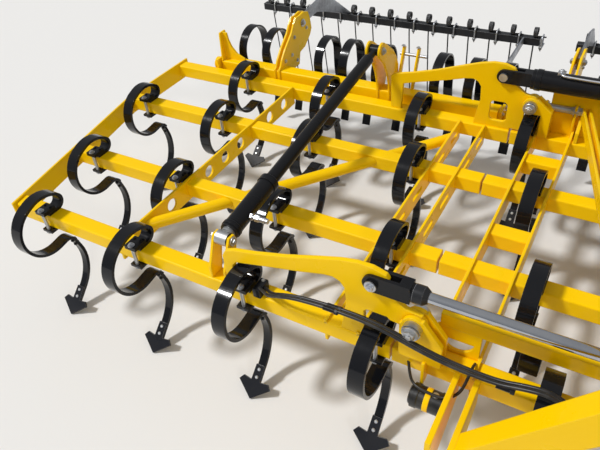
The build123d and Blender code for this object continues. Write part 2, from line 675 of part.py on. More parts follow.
def levelling_gear(name, tube_x, journal_x, hoops, wires, arms, low_arms, links, ears):
    bar = block(tube_x, (tube_y - tube_w / 2, tube_y + tube_w / 2), (tube_z - tube_w / 2, tube_z + tube_w / 2))
    tube = fillet(bar.edges().filter_by(Axis.X), tube_corner_r)
    tube += rod_x(journal_r, journal_x[0], journal_x[1], tube_y, tube_z)
    for x in arms:
        for plate in lift_arm(x):
            tube += plate
        tube += arm_pin(x)
    for ear in ears:
        tube += ear
    if name != "centre":
        inward = 1 if name == "wing_right" else -1
        tube += tube_end(-inward * wing_tube_x[1], inward)
    keep(f"{name}_levelling_tube", tube)
    span = (min(hoops) - 40, max(hoops) + 40)
    carrier = block(span, (carrier_y, carrier_y + carrier_w), (carrier_top - carrier_w, carrier_top))
    for x in links:
        link = [(tube_y + tube_w / 2, tube_z + 15), (tube_y + tube_w / 2, tube_z - 42),
                (carrier_y, carrier_top - 62), (carrier_y, carrier_top - 6)]
        carrier += plate_yz(link, x - 20, x + 20)
    keep(f"{name}_hoop_carrier", carrier)
    keep(f"{name}_hoops", *[hoop(x) for x in hoops])
    keep(f"{name}_rake_bar", block((min(wires) - rake_over, max(wires) + rake_over), (rake_y, rake_y + rake_w),
                                   (rake_top - rake_w, rake_top)))
    keep(f"{name}_rake_wires", *[wire(x) for x in wires])
    keep(f"{name}_rake_arms", *[rake_arm(x) for x in arms], *[low_arm(x) for x in low_arms])


def wing_strut_bracket():
    # Side view of a plate that stands on the first beam, round at the pin.
    y, z = wing_strut_foot
    return [(row_y[0] + 6, deck_z), (row_y[0] + 74, deck_z), (y + 26, z - 12), (y + 18, z + 22), (y - 16, z + 24),
            (y - 28, z + 4), (row_y[0] + 8, deck_z + 60)]


def centre_strut_bracket():
    # Side view of a plate on the back face of the first beam.
    y, z = centre_strut_foot
    return [(row_y[0] + beam_w, beam_foot), (row_y[0] + beam_w, deck_z), (y - 10, z + 28), (y + 28, z + 10),
            (y + 20, z - 30)]


def strut_cylinder(name, x, eye_t, foot_at, pin_at, bracket):
    foot = Vector(x, *foot_at)
    top = Vector(x, *pin_at)
    way = (top - foot).normalized()
    length = (top - foot).length
    neck = foot + way * 40
    mouth = foot + way * strut_barrel_len
    barrel = rod_between(neck, mouth, strut_barrel_r)
    barrel -= rod_between(neck + way * 20, mouth - way * 25, strut_bore_r)
    barrel -= rod_between(mouth - way * 30, mouth + way * 5, strut_rod_r + run_gap)
    half = eye_t / 2
    barrel += rod_x(strut_eye_r, x - half, x + half, foot.Y, foot.Z)
    barrel += rod_between(foot + way * 18, neck + way * 2, 20)
    barrel -= rod_x(strut_pin_r + run_gap, x - half - 1, x + half + 1, foot.Y, foot.Z)
    rod = rod_between(mouth - way * 120, foot + way * (length - strut_neck[0]), strut_rod_r)
    rod += rod_between(foot + way * (length - strut_neck[0]), foot + way * (length - 18), strut_neck[1])
    rod += rod_between(mouth - way * 120, mouth - way * 90, strut_bore_r - run_gap)
    rod += rod_x(strut_eye_r, x - half, x + half, top.Y, top.Z)
    keep(f"{name}_strut_barrel", barrel)
    keep(f"{name}_strut_rod", rod)
    stand = rod_x(strut_pin_r, x - half - 20, x + half + 20, foot.Y, foot.Z)
    for x0 in (x - half - 2 - ear_t, x + half + 2):
        stand += plate_yz(bracket, x0, x0 + ear_t)
    keep(f"{name}_plates", stand)


wire_shift = 25.0
wing_wires = [n * wire_pitch + wire_shift for n in range(6, 21)]
wing_arm_x = 2310.0
low_arm_x = 985.0
wing_links = (2231.0, 1770.0, 1450.0, 1177.0)
for side, name in ((-1, "wing_right"), (1, "wing_left")):
    tube_x = sorted(side * x for x in wing_tube_x)
    journal_x = sorted(side * x for x in (wing_tube_x[0] - 10 - bearing_t - 20, wing_tube_x[1] + 10 + bearing_t + 46))
    levelling_gear(name, tube_x, journal_x, [side * x for x in wing_hoop_x], [side * x for x in wing_wires],
                   [side * wing_arm_x], [side * low_arm_x], [side * x for x in wing_links],
                   wing_ears(side * strut_x))
    strut_cylinder(name, side * strut_x, wing_eye_t, wing_strut_foot, wing_strut_pin, wing_strut_bracket())
outer_face = centre_plate_x[1] + plate_t / 2
levelling_gear("centre", (-centre_tube_x, centre_tube_x), (-outer_face - 20, outer_face + 20), centre_hoop_x,
               [(n - 4) * wire_pitch for n in range(9)], [-550.0, 550.0], [], [-320.0, 0.0, 320.0],
               centre_ears(0.0))
strut_cylinder("centre", 0.0, centre_eye_t, centre_strut_foot, centre_strut_pin, centre_strut_bracket())

os.makedirs("parts", exist_ok=True)
for name, shapes in body_shapes.items():
    solids = [s for shape in shapes for s in shape.solids()]
    export_step(Compound(solids), f"parts/{name}.step")
    print(name, len(solids))
print("nodes", len(body_shapes))
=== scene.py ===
import json
import math

import bmesh
import bpy
from mathutils import Matrix, Vector


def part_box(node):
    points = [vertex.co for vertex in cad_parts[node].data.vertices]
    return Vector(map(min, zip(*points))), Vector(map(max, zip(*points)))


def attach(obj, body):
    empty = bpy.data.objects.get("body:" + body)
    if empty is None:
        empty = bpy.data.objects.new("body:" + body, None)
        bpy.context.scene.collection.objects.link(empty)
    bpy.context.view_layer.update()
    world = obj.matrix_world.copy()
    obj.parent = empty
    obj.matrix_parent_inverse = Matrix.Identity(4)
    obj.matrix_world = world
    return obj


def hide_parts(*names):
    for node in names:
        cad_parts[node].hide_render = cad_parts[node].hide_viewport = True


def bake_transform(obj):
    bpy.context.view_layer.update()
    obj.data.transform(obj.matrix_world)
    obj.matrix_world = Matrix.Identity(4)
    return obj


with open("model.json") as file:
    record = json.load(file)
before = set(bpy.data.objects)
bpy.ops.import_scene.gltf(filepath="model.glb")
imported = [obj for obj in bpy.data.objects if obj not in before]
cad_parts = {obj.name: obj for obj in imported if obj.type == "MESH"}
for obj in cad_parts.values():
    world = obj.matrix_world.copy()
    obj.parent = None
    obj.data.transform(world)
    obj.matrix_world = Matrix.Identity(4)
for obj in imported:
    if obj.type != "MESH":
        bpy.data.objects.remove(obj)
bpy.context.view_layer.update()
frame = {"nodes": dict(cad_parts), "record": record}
print("frame loaded:", len(frame["nodes"]), "nodes")


# Finishes
def newMaterial(name):
    material = bpy.data.materials.new(name)
    material.use_nodes = True
    tree = material.node_tree
    return material, tree, tree.nodes["Principled BSDF"]


def addNode(tree, kind, links=(), **values):
    node = tree.nodes.new(kind)
    for key, value in values.items():
        if hasattr(node, key):
            setattr(node, key, value)
        else:
            node.inputs[key.replace("_", " ")].default_value = value
    for socket, source in links:
        tree.links.new(source, node.inputs[socket])
    return node


def colourMix(tree, factor, first, second, blend="MIX"):
    mix = addNode(tree, "ShaderNodeMix", data_type="RGBA", blend_type=blend)
    for socket, value in ((0, factor), (6, first), (7, second)):
        if isinstance(value, (float, tuple)):
            mix.inputs[socket].default_value = value
        else:
            tree.links.new(value, mix.inputs[socket])
    return mix.outputs[2]


def timesNumber(tree, source, number):
    times = addNode(tree, "ShaderNodeMath", [(0, source)], operation="MULTIPLY")
    times.inputs[1].default_value = number
    return times.outputs[0]


def noiseAt(tree, scale, detail, rough=0.55, stretch=(1.0, 1.0, 1.0)):
    place = addNode(tree, "ShaderNodeTexCoord")
    turn = addNode(tree, "ShaderNodeMapping", [("Vector", place.outputs["Object"])], Scale=stretch)
    noise = addNode(tree, "ShaderNodeTexNoise", [("Vector", turn.outputs["Vector"])],
                    Scale=scale, Detail=detail, Roughness=rough)
    return noise.outputs["Fac"]


def ramp(tree, source, low, high, dark=(0, 0, 0, 1), light=(1, 1, 1, 1)):
    steps = addNode(tree, "ShaderNodeValToRGB", [("Fac", source)])
    ends = steps.color_ramp.elements
    ends[0].position, ends[0].color = low, dark
    ends[1].position, ends[1].color = high, light
    return steps.outputs["Color"]


def glossFrom(tree, source, roughness, look):
    # Roughness that wanders with the noise, between two shares of the given one.
    (low, high), (smooth, rough) = look["glossNoise"], look["glossSpread"]
    spread = addNode(tree, "ShaderNodeMapRange", [("Value", source)], From_Min=low, From_Max=high,
                     To_Min=roughness * smooth, To_Max=roughness * rough)
    return spread.outputs["Result"]


def bumpFrom(tree, source, strength, distance, base=None):
    links = [("Height", source)]
    if base:
        links.append(("Normal", base))
    bump = addNode(tree, "ShaderNodeBump", links, Strength=strength, Distance=distance)
    return bump.outputs["Normal"]


def softEdge(tree, radius):
    return addNode(tree, "ShaderNodeBevel", samples=4, Radius=radius).outputs["Normal"]


def edgeMask(tree, rounded, low, high):
    # White where the rounded normal leaves the flat one, so along the piece's edges.
    flat = addNode(tree, "ShaderNodeNewGeometry")
    same = addNode(tree, "ShaderNodeVectorMath", [(0, rounded), (1, flat.outputs["Normal"])],
                   operation="DOT_PRODUCT")
    away = addNode(tree, "ShaderNodeMath", [(1, same.outputs["Value"])], operation="SUBTRACT")
    away.inputs[0].default_value = 1.0
    return ramp(tree, away.outputs[0], low, high)


# What all paints share. Scales and ranges are those of the noises.
paintLook = {"patchScale": 3.2, "patches": (0.25, 0.9), "fineScale": 55.0, "grainScale": 260.0,
             "edges": (0.02, 0.3), "glossNoise": (0.3, 0.75), "glossSpread": (0.8, 1.5),
             "peel": (0.08, 0.004), "grain": (0.04, 0.001), "specular": 0.12, "coatRoughness": 0.05}


def paint(name, colour, dusty, roughness, coat, edgeWearAndHighlight, edgeRadius, dustAmount=0.5, edgeAmount=0.5):
    look = paintLook
    material, tree, shader = newMaterial(name)
    broad = noiseAt(tree, look["patchScale"], 6.0)
    fine = noiseAt(tree, look["fineScale"], 3.0)
    grains = noiseAt(tree, look["grainScale"], 2.0)
    patches = timesNumber(tree, ramp(tree, broad, *look["patches"]), dustAmount)
    shade = colourMix(tree, patches, colour, dusty)
    rounded = softEdge(tree, edgeRadius)
    # Edges take the edge colour: worn metal on the share paint, a painted highlight on the amber,
    # black and dark grey paints.
    wornAndHighlitEdges = addNode(tree, "ShaderNodeMath",
                   [(0, edgeMask(tree, rounded, *look["edges"])), (1, fine)], operation="MULTIPLY")
    wearAndHighlightShare = timesNumber(tree, wornAndHighlitEdges.outputs[0], edgeAmount * 2.0)
    tree.links.new(colourMix(tree, wearAndHighlightShare, shade, edgeWearAndHighlight), shader.inputs["Base Color"])
    tree.links.new(glossFrom(tree, broad, roughness, look), shader.inputs["Roughness"])
    peel = bumpFrom(tree, fine, *look["peel"], rounded)
    tree.links.new(bumpFrom(tree, grains, *look["grain"], peel), shader.inputs["Normal"])
    shader.inputs["Specular IOR Level"].default_value = look["specular"]
    shader.inputs["Coat Weight"].default_value = coat
    shader.inputs["Coat Roughness"].default_value = look["coatRoughness"]
    return material


metalLook = {"stainScale": 9.0, "stains": (0.42, 0.72), "spangleScale": 90.0, "grainScale": 420.0,
             "glossNoise": (0.3, 0.7), "glossSpread": (0.8, 1.6), "grain": (0.06, 0.0008),
             "drawnOut": (0.08, 1.0, 1.0)}


def metal(name, colour, dull, roughness, spangle=0.0, lines=0.0):
    look = metalLook
    material, tree, shader = newMaterial(name)
    broad = noiseAt(tree, look["stainScale"], 5.0)
    shade = colourMix(tree, ramp(tree, broad, *look["stains"]), colour, dull)
    if spangle:
        place = addNode(tree, "ShaderNodeTexCoord")
        cells = addNode(tree, "ShaderNodeTexVoronoi", [("Vector", place.outputs["Object"])],
                        Scale=look["spangleScale"])
        tone = ramp(tree, cells.outputs["Color"], 0.0, 1.0, (1 - spangle,) * 3 + (1,))
        shade = colourMix(tree, 1.0, shade, tone, "MULTIPLY")
    tree.links.new(shade, shader.inputs["Base Color"])
    shader.inputs["Metallic"].default_value = 1.0
    tree.links.new(glossFrom(tree, broad, roughness, look), shader.inputs["Roughness"])
    stretch = look["drawnOut"] if lines else (1.0, 1.0, 1.0)
    grain = noiseAt(tree, look["grainScale"], 2.0, 0.5, stretch)
    strength, depth = look["grain"]
    tree.links.new(bumpFrom(tree, grain, strength + lines, depth), shader.inputs["Normal"])
    return material


rubberLook = {"dustScale": 14.0, "dustNoise": (0.5, 0.85), "dustMost": (0.35, 0.35, 0.35, 1),
              "dustColour": (0.16, 0.15, 0.13, 1.0), "grainScale": 600.0, "grain": (0.25, 0.0006)}


def rubber(name, colour, roughness):
    look = rubberLook
    material, tree, shader = newMaterial(name)
    broad = noiseAt(tree, look["dustScale"], 5.0)
    dusty = ramp(tree, broad, *look["dustNoise"], light=look["dustMost"])
    tree.links.new(colourMix(tree, dusty, colour, look["dustColour"]), shader.inputs["Base Color"])
    shader.inputs["Roughness"].default_value = roughness
    grain = noiseAt(tree, look["grainScale"], 2.0)
    tree.links.new(bumpFrom(tree, grain, *look["grain"]), shader.inputs["Normal"])
    return material


# Paints: colour, colour under dust, roughness, coat, colour and radius of the edges' wear and
# painted highlight.
# Metals: colour, dull colour, roughness.
finishes = {
    "amber_paint": paint("amberPaint", (0.98, 0.61, 0.0, 1), (0.90, 0.52, 0.003, 1), 0.28, 0.04,
                         (1.0, 0.80, 0.10, 1), 0.006, dustAmount=0.35),
    "black_spring_steel": paint("springSteelPaint", (0.004, 0.0045, 0.006, 1),
                                (0.012, 0.013, 0.017, 1), 0.16, 0.35, (0.05, 0.05, 0.055, 1),
                                0.0035),
    "black_paint": paint("blackPaint", (0.006, 0.0065, 0.008, 1), (0.018, 0.018, 0.020, 1),
                         0.26, 0.2, (0.06, 0.06, 0.06, 1), 0.004),
    "share_steel": paint("sharePaint", (0.009, 0.010, 0.014, 1), (0.045, 0.045, 0.047, 1),
                         0.3, 0.2, (0.30, 0.29, 0.28, 1), 0.003, edgeAmount=0.8),
    "dark_grey": paint("darkGreyPaint", (0.018, 0.019, 0.022, 1), (0.045, 0.045, 0.045, 1),
                       0.34, 0.15, (0.38, 0.38, 0.38, 1), 0.004, edgeAmount=0.9),
    "zinc": metal("zincPlate", (0.58, 0.60, 0.64, 1), (0.44, 0.43, 0.38, 1), 0.36),
    "chrome_rod": metal("chromeRod", (0.52, 0.54, 0.58, 1), (0.42, 0.44, 0.48, 1), 0.1, lines=0.03),
    "galvanised": metal("galvanised", (0.46, 0.48, 0.52, 1), (0.34, 0.35, 0.37, 1), 0.38,
                        spangle=0.3),
    "black_plastic": rubber("blackPlastic", (0.008, 0.008, 0.009, 1), 0.3),
}
rubberHose = rubber("hoseRubber", (0.012, 0.012, 0.013, 1), 0.4)

for part in frame["record"]["subparts"]:
    node = frame["nodes"][part["node"]]
    node.data.materials.clear()
    node.data.materials.append(finishes[part["material_slot"]])
print("finishes set:", len(finishes))


# Places of the machine's own rows, in metres
rowY = [-1.29475 + step for step in (0.0, 0.5, 1.11, 1.61)]
deckZ = 0.64
tubeY, tubeZ = rowY[3] + 0.155, 0.635
hingeX, hingeZ = 0.685, 0.81
foldPinX, foldPinZ = 0.842, 0.948
leverY = (rowY[0] + 0.015, rowY[3] + 0.025)
wingFromX = 0.77
tineStep = 0.15
wingSides = ((-1, "wing_right"), (1, "wing_left"))


def bodyAt(x):
    return "centre" if abs(x) < wingFromX else ("wing_right" if x < 0 else "wing_left")


def tinePlaces():
    for n in range(20):
        x = (n + 0.5) * tineStep
        row = (n + 3) % 4
        for side in (-1, 1):
            yield (x, 2) if n == 0 and side == 1 else (side * x, row)


# Shapes are gathered in one mesh for each kind and body. Edges over sharpFrom degrees stay sharp.
drawn = {}
sharpFrom = 32.0


def shapeFor(kind, body):
    return drawn.setdefault((kind, body), bmesh.new())


def finishKind(kind, finish):
    for key in [k for k in drawn if k[0] == kind]:
        shape = drawn.pop(key)
        bmesh.ops.recalc_face_normals(shape, faces=shape.faces)
        mesh = bpy.data.meshes.new("_".join(key))
        shape.to_mesh(mesh)
        shape.free()
        mesh.shade_smooth()
        mesh.set_sharp_from_angle(angle=math.radians(sharpFrom))
        mesh.materials.append(finishes[finish])
        piece = bpy.data.objects.new(mesh.name, mesh)
        bpy.context.collection.objects.link(piece)
        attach(piece, key[1])


def bevelEdges(shape, edges, chamfer, segments):
    bmesh.ops.bevel(shape, geom=list(edges), offset=chamfer, segments=segments, affect="EDGES",
                    profile=0.5, material=-1)


def addRound(shape, place, along, radius, height, segments=12, chamfer=0.0, tipRadius=None):
    up = Vector(along).normalized()
    turn = up.to_track_quat("Z", "Y").to_matrix().to_4x4()
    stand = Matrix.Translation(Vector(place) + up * height / 2) @ turn
    far = radius if tipRadius is None else tipRadius
    made = bmesh.ops.create_cone(shape, cap_ends=True, segments=segments, radius1=radius,
                                 radius2=far, depth=height, matrix=stand)
    if chamfer:
        top = Vector(place) + up * height
        rim = {e for v in made["verts"] for e in v.link_edges
               if all(abs((w.co - top).dot(up)) < 1e-5 for w in e.verts)}
        bevelEdges(shape, rim, chamfer, 1)


# A bolt for a size of 1: each part's radius, height, sides and chamfer
boltShape = {"washer": (1.1, 0.16, 14, 0.0), "head": (0.85, 0.55, 6, 0.12),
             "end": (0.45, 0.2, 8, 0.08)}


def addBolt(shape, place, along, size, washer=True):
    up, foot = Vector(along).normalized(), Vector(place)
    for name, (radius, height, sides, chamfer) in boltShape.items():
        if name != "washer" or washer:
            addRound(shape, foot, up, size * radius, size * height, sides, size * chamfer)
            foot = foot + up * size * height


def addPinHead(shape, place, along, radius, height, boltSize, sides=20, chamfer=0.001):
    # A round head with a plain bolt on it.
    addRound(shape, place, along, radius, height, sides, chamfer)
    addBolt(shape, Vector(place) + Vector(along) * height, along, boltSize, washer=False)


def addBlock(shape, centre, size, chamfer, turn=None):
    stand = Matrix.Translation(centre) @ (turn or Matrix.Identity(4))
    made = bmesh.ops.create_cube(shape, size=1.0, matrix=stand @ Matrix.Diagonal((*size, 1.0)))
    bevelEdges(shape, {e for v in made["verts"] for e in v.link_edges}, chamfer, 2)


def addLines(name, body, finish, paths, radius, smooth=False, sides=1):
    # Round bars, wires and pipes: each path is a list of points.
    data = bpy.data.curves.new(name, "CURVE")
    data.dimensions = "3D"
    data.bevel_depth, data.bevel_resolution = radius, sides
    data.use_fill_caps = True
    data.resolution_u = 5
    for path in paths:
        line = data.splines.new("NURBS" if smooth else "POLY")
        line.points.add(len(path) - 1)
        for point, place in zip(line.points, path):
            point.co = (*place, 1.0)
        if smooth:
            line.order_u = 3
            line.use_endpoint_u = True
    data.materials.append(finish)
    curve = bpy.data.objects.new(name + "Path", data)
    mesh = bpy.data.meshes.new_from_object(curve)
    bpy.data.objects.remove(curve)
    mesh.name = name
    piece = bpy.data.objects.new(name, mesh)
    bpy.context.collection.objects.link(piece)
    mesh.shade_smooth()
    if body:
        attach(piece, body)
    return piece


# Tine fixings: through bolt with its sleeve, bolts at neck and share, studs of the clamp.
# At is y behind the row and z, Lean is the blade's direction in degrees, Steps are along it.
tineFixing = {
    "boltBack": 0.015, "boltTop": 0.675, "boltFoot": 0.546, "boltSize": 0.015,
    "sleeveFoot": 0.56, "sleeveRadius": 0.0088, "sleeveLength": 0.096, "halfBlade": 0.009,
    "neckAt": (0.08181, 0.42057), "neckLean": 286.0, "neckSteps": (0.014, 0.045),
    "neckSize": 0.0095, "toeAt": (-0.04667, 0.03968), "toeLean": 222.0,
    "toeSteps": (-0.036, -0.074), "toeSize": 0.0085, "shareFace": 0.019,
    "toeHead": (0.005, 10, 0.003),
    "studAside": 0.02, "studBack": 0.028, "studFoot": 0.675, "stud": (0.008, 0.006, 8, 0.002),
}


def bladeSpots(end, x, y):
    # The bolts' places along one end of a tine, and the way that its front faces.
    lean = math.radians(tineFixing[end + "Lean"])
    atY, atZ = tineFixing[end + "At"]
    spots = [Vector((x, y + atY + step * math.cos(lean), atZ + step * math.sin(lean)))
             for step in tineFixing[end + "Steps"]]
    return spots, Vector((0, math.sin(lean), -math.cos(lean)))


def tineFixings():
    half = tineFixing["halfBlade"]
    for x, row in tinePlaces():
        body, y = bodyAt(x), rowY[row]
        bright, dark = shapeFor("tineBolts", body), shapeFor("tineNeckBolts", body)
        backY, size = y - tineFixing["boltBack"], tineFixing["boltSize"]
        addBolt(bright, (x, backY, tineFixing["boltTop"]), (0, 0, 1), size)
        addRound(bright, (x, backY, tineFixing["sleeveFoot"]), (0, 0, 1),
                 tineFixing["sleeveRadius"], tineFixing["sleeveLength"], 10)
        addBolt(bright, (x, backY, tineFixing["boltFoot"]), (0, 0, -1), size)
        spots, front = bladeSpots("neck", x, y)
        for spot in spots:
            addBolt(dark, spot + front * half, front, tineFixing["neckSize"])
            addBolt(dark, spot - front * half, -front, tineFixing["neckSize"], washer=False)
        spots, front = bladeSpots("toe", x, y)
        for spot in spots:
            addRound(bright, spot + front * tineFixing["shareFace"], front, tineFixing["toeSize"],
                     *tineFixing["toeHead"])
            addBolt(dark, spot - front * half, -front, tineFixing["toeSize"], washer=False)
        for aside in (-tineFixing["studAside"], tineFixing["studAside"]):
            place = (x + aside, y + tineFixing["studBack"], tineFixing["studFoot"])
            addRound(dark, place, (0, 0, 1), *tineFixing["stud"])
    finishKind("tineBolts", "zinc")
    finishKind("tineNeckBolts", "black_paint")


tineFixings()
print("tine fixings set")

# Rake springs: wire coil above the bar, its end held under a clamp, and the long straight tine.
# Hook is how far its end reaches along the bar, leg and bend are y and z steps.
spring = {"wire": 0.005, "coilRadius": 0.0285, "coilUp": 0.034, "turns": 3.75, "coilWidth": 0.026,
          "steps": 13, "hook": (0.082, 0.035), "hookUp": 0.001, "coilBack": 0.0025,
          "leg": ((0.064, 0.56), (0.092, 0.30), (0.121, 0.10), (0.121, 0.014)),
          "centreCount": 9, "wingPlaces": range(6, 21), "wingShift": 0.025}
rakeBar = {"y": rowY[3] + 1.145, "width": 0.05, "foot": 0.625, "top": 0.675}
rakeClamp = {"wire": 0.005, "aside": 0.060, "out": 0.0065, "over": 0.0165, "legDown": 0.028,
             "bend": ((0.0, 0.012), (0.004, 0.003), (0.013, 0.0)),
             "plate": (0.024, 0.086, 0.007), "plateZ": 0.6215, "plateChamfer": 0.0015,
             "nut": (0.0105, 0.009, 6, 0.0015), "nutZ": 0.618}


def springPath(x, toClamp):
    middleY = rakeBar["y"] + rakeBar["width"] / 2 + spring["coilBack"]
    middleZ, radius = rakeBar["top"] + spring["coilUp"], spring["coilRadius"]
    hookZ = middleZ - radius + spring["hookUp"]
    path = [(x + toClamp * reach, middleY, hookZ) for reach in spring["hook"]]
    count = int(spring["turns"] * spring["steps"])
    for n in range(count + 1):
        left = 1 - n / count
        angle = 2 * math.pi * spring["turns"] * left
        path.append((x + toClamp * spring["coilWidth"] * left,
                     middleY + radius * math.cos(angle), middleZ + radius * math.sin(angle)))
    return path + [(x, rakeBar["y"] + back, z) for back, z in spring["leg"]]


def clampPath(x):
    front = rakeBar["y"] - rakeClamp["out"]
    back = rakeBar["y"] + rakeBar["width"] + rakeClamp["out"]
    top, foot = rakeBar["top"] + rakeClamp["over"], rakeBar["foot"] - rakeClamp["legDown"]
    rise = [(x, front + inward, top - down) for inward, down in rakeClamp["bend"]]
    fall = [(x, back - inward, top - down) for inward, down in reversed(rakeClamp["bend"])]
    return [(x, front, foot), *rise, *fall, (x, back, foot)]


def rakeSprings():
    outward = [n * tineStep + spring["wingShift"] for n in spring["wingPlaces"]]
    middle = spring["centreCount"] // 2
    rows = {"centre": [(n - middle) * tineStep for n in range(spring["centreCount"])],
            "wing_right": [-x for x in outward], "wing_left": outward}
    for name, places in rows.items():
        body = name + "_levelling"
        inward = [-1 if x > 0 else 1 for x in places]
        wires = addLines(name + "RakeSprings", body, finishes["dark_grey"],
                         [springPath(x, way) for x, way in zip(places, inward)], spring["wire"])
        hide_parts(name + "_rake_wires")
        clampX = [x + way * rakeClamp["aside"] for x, way in zip(places, inward)]
        clamps = addLines(name + "RakeClamps", body, finishes["zinc"],
                          [clampPath(x) for x in clampX], rakeClamp["wire"])
        plates, nuts = shapeFor("rakePlates", body), shapeFor("rakeNuts", body)
        for x in clampX:
            addBlock(plates, (x, rakeBar["y"] + rakeBar["width"] / 2, rakeClamp["plateZ"]),
                     rakeClamp["plate"], rakeClamp["plateChamfer"])
            for y in (-rakeClamp["out"], rakeBar["width"] + rakeClamp["out"]):
                place = (x, rakeBar["y"] + y, rakeClamp["nutZ"])
                addRound(nuts, place, (0, 0, -1), *rakeClamp["nut"])
    finishKind("rakePlates", "zinc")
    finishKind("rakeNuts", "black_paint")


rakeSprings()
print("rake springs set")

# Levelling gear: bolts of the hoops, arms and bearings, pin ends. Bolts and pin of an arm are y
# behind the tube and z above the deck, and those of a bearing are from the tube's axis. Bearings
# are x and the way that they face.
gear = {
    "wingHoops": (2.647, 2.46, 2.059, 1.884, 1.655, 1.278, 1.076, 0.89),
    "centreHoops": (-0.4, -0.24, -0.08, 0.08, 0.24, 0.4),
    "hoopBoltY": rowY[3] + 0.365, "carrierTop": 0.566, "hoopBoltAside": 0.016, "hoopBolt": 0.013,
    "armX": 2.31, "centreArmX": 0.55, "armHalf": 0.0225, "armBolt": 0.012,
    "armBolts": ((0.167, 0.186), (0.12, 0.083), (0.032, 0.076), (0.181, 0.02), (0.33, 0.19)),
    "armPin": (0.285, 0.24), "armPinHead": (0.026, 0.006, 0.021),
    "bearings": ((0.842, -1), (2.786, 1)), "bearingBolt": 0.011,
    "bearingBolts": ((0.036, 0.032), (0.036, -0.03), (-0.04, 0.032)),
}


def hoopBolts(shape, places):
    for x in places:
        for aside in (-gear["hoopBoltAside"], gear["hoopBoltAside"]):
            addBolt(shape, (x + aside, gear["hoopBoltY"], gear["carrierTop"]), (0, 0, 1),
                    gear["hoopBolt"])


def armBolts(shape, x):
    for face in (-1, 1):
        outer = x + face * gear["armHalf"]
        for back, up in gear["armBolts"]:
            addBolt(shape, (outer, tubeY + back, deckZ + up), (face, 0, 0), gear["armBolt"])
        back, up = gear["armPin"]
        addPinHead(shape, (outer, tubeY + back, deckZ + up), (face, 0, 0), *gear["armPinHead"])


def gearFixings():
    for side, name in wingSides:
        bolts = shapeFor("gearBolts", name + "_levelling")
        hoopBolts(bolts, [side * x for x in gear["wingHoops"]])
        armBolts(bolts, side * gear["armX"])
        bearing = shapeFor("bearingBolts", name)
        for x, face in gear["bearings"]:
            for back, up in gear["bearingBolts"]:
                addBolt(bearing, (side * x, tubeY + back, tubeZ + up), (side * face, 0, 0),
                        gear["bearingBolt"])
    bolts = shapeFor("gearBolts", "centre_levelling")
    hoopBolts(bolts, gear["centreHoops"])
    for x in (-gear["centreArmX"], gear["centreArmX"]):
        armBolts(bolts, x)
    finishKind("gearBolts", "zinc")
    finishKind("bearingBolts", "zinc")


gearFixings()
print("levelling gear fixings set")

# Adjusting cylinders: pin heads, eye, collars and glands, the wings' side coupling, the centre's
# ports and pipe. A ring is its distance from the foot, radius and length, heads are radius,
# height and bolt size, and the coupling's steps are radius, length and sides.
strut = {
    "x": 1.555, "foot": (rowY[0] + 0.089, 0.81), "pin": (tubeY - 0.16, 0.986), "half": 0.0295,
    "centreFoot": (rowY[0] + 0.195, 0.685), "centrePin": (tubeY + 0.04, 0.81), "centreHalf": 0.021,
    "forkPlate": 0.014, "footHead": (0.021, 0.007, 0.016), "tipHead": (0.022, 0.007, 0.017),
    "tipGap": 0.001, "pinRadius": 0.0117, "eyeRadius": 0.0313, "eyeGap": 0.001,
    "collar": (0.024, 0.030, 0.02), "glands": ((0.34, 0.047, 0.034), (0.052, 0.046, 0.02)),
    "couplingAt": 0.15, "couplingOut": 0.039,
    "coupling": ((0.017, 0.012, 6), (0.011, 0.012, 16), (0.016, 0.022, 6), (0.0125, 0.02, 20),
                 (0.0145, 0.008, 20), (0.0115, 0.014, 20)),
    "portWay": (0.75, 0.66), "portsAt": (0.085, 0.315), "portOut": 0.038,
    "port": (0.014, 0.012, 14, 0.002), "portBolt": 0.013, "pipeOut": 0.058, "pipe": 0.0055,
    "pipeSteps": ((0.0, 0.0), (0.012, 0.008), (0.04, 0.008)),
}


def strutFittings(name, x, footAt, pinAt, half):
    foot, pin = Vector((x, *footAt)), Vector((x, *pinAt))
    way = (pin - foot).normalized()
    aside = Vector((1, 0, 0))
    barrelBody, rodBody = name + "_strut_barrel", name + "_strut_rod"
    heads, tips = shapeFor("strutPins", name), shapeFor("strutPins", rodBody)
    outer = half + strut["forkPlate"]
    tipOuter = outer + strut["tipGap"]
    for face in (-1, 1):
        addPinHead(heads, foot + aside * face * outer, (face, 0, 0), *strut["footHead"])
        addPinHead(tips, pin + aside * face * tipOuter, (face, 0, 0), *strut["tipHead"])
    addRound(tips, pin - aside * outer, aside, strut["pinRadius"], 2 * outer, 16)
    collars, glands = shapeFor("strutCollars", barrelBody), shapeFor("strutGlands", barrelBody)
    at, radius, length = strut["collar"]
    addRound(collars, foot + way * at, way, radius, length, 28, 0.003)
    eyeHalf = half - strut["eyeGap"]
    addRound(collars, foot - aside * eyeHalf, aside, strut["eyeRadius"], 2 * eyeHalf, 36)
    for at, radius, length in strut["glands"]:
        addRound(glands, foot + way * at, way, radius, length, 28, 0.003)
    if x:
        sideCoupling(shapeFor("strutPorts", barrelBody), foot + way * strut["couplingAt"], x)
    else:
        portPipe(name, barrelBody, foot, way)


def sideCoupling(shape, place, x):
    inward = Vector((-math.copysign(1, x), 0, 0))
    reach = place + inward * strut["couplingOut"]
    for radius, length, sides in strut["coupling"]:
        addRound(shape, reach, inward, radius, length, sides, 0.0015)
        reach = reach + inward * length


